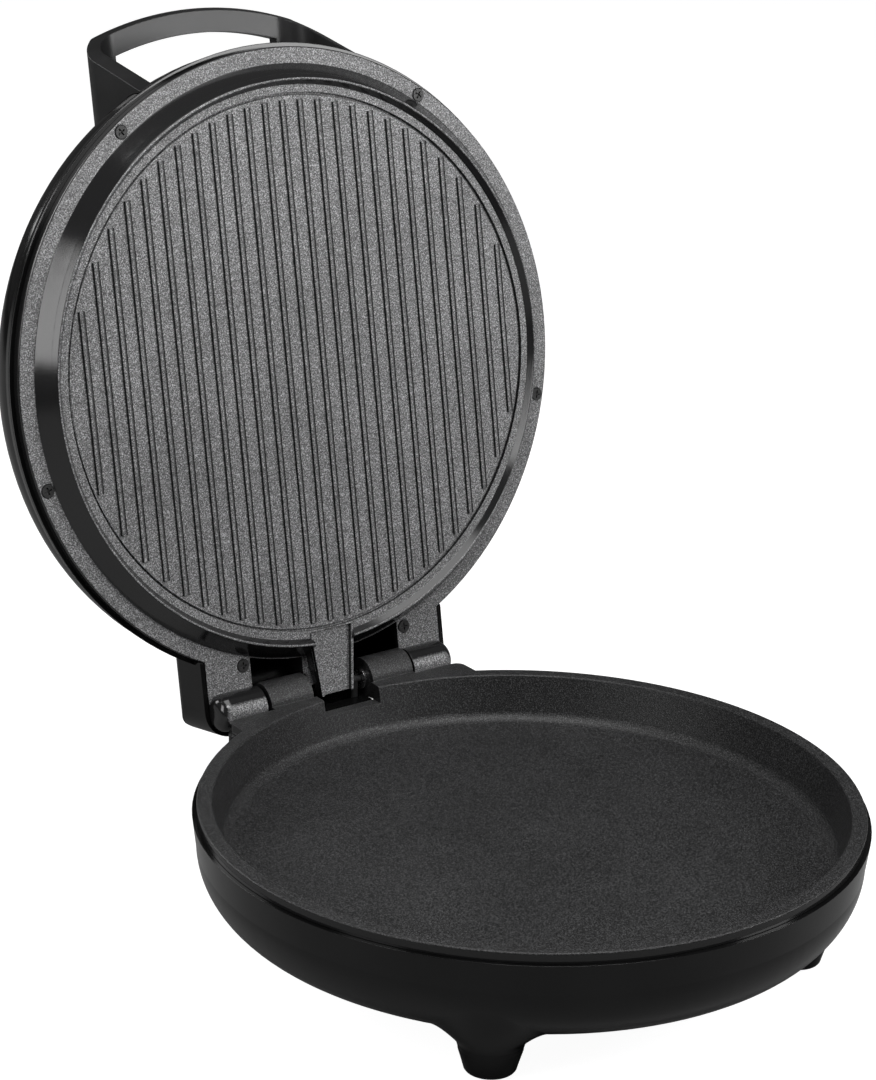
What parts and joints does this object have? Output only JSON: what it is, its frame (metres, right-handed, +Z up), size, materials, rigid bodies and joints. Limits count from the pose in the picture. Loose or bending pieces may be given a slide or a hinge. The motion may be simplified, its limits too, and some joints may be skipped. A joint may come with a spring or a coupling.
{
  "type": "electric pizza maker",
  "caption": "Round countertop cooker with a shallow non-stick pan, a hinged domed lid with a ribbed upper plate, a bridge handle and conical feet, shown open.",
  "frame": {"origin": "on the table, under the middle of the open object's bounding box", "axes": "+Z up, -Y towards the pan's front, +Y towards the hinge and the open lid, +X along the hinge axis"},
  "size_m": [0.3486, 0.5062, 0.4341],
  "materials": {
    "housing_plastic": "black moulded plastic with a soft gloss",
    "foot_rubber": "matte black rubber",
    "plate_coating": "fine speckled charcoal non-stick coating",
    "screw_black": "blackened steel",
    "screw_zinc": "zinc-plated steel",
    "element_steel": "dull stainless tube",
    "strap_steel": "pressed steel",
    "reflector_sheet": "bright thin sheet",
    "thermostat_case": "aluminium cap",
    "fuse_sleeve": "woven glass-fibre sleeve",
    "terminal_plastic": "ivory nylon",
    "lead_sleeve": "black silicone sleeve",
    "pin_steel": "turned steel",
    "red_lens": "clear red plastic",
    "green_lens": "clear green plastic",
    "lamp_glass": "small glass lamp",
    "board": "hard paper board"
  },
  "bodies": {
    "base": {"base_housing": "housing_plastic", "foot_pads": "foot_rubber", "inlet_bush": "foot_rubber", "lower_plate": "plate_coating", "base_screws": "screw_zinc", "lower_element": "element_steel", "lower_element_clamps": "strap_steel", "lower_clamp_screws": "screw_zinc", "lower_reflector": "reflector_sheet", "lower_thermostat": "thermostat_case", "lower_thermal_fuse": "fuse_sleeve", "base_terminal_block": "terminal_plastic", "base_wiring": "lead_sleeve"},
    "lid": {"hinge_pin_left": "pin_steel", "hinge_pin_right": "pin_steel", "upper_plate": "plate_coating", "flange_screws": "screw_black", "ear_screws": "screw_black", "lid_housing": "housing_plastic", "handle": "housing_plastic", "handle_screws": "screw_zinc", "upper_element": "element_steel", "upper_element_clamps": "strap_steel", "upper_clamp_screws": "screw_zinc", "upper_reflector": "reflector_sheet", "reflector_screws": "screw_zinc", "upper_thermostat": "thermostat_case", "lid_terminal_block": "terminal_plastic", "lid_wiring": "lead_sleeve", "power_light": "red_lens", "ready_light": "green_lens", "lamps": "lamp_glass", "lamp_board": "board"}
  },
  "joints": [
    {"name": "lid_hinge", "type": "hinge", "parent": "base", "child": "lid", "pos_m": [0, 0.10298, 0.0785], "axis": [1, 0, 0], "range_deg": [0, 100.4]}
  ]
}
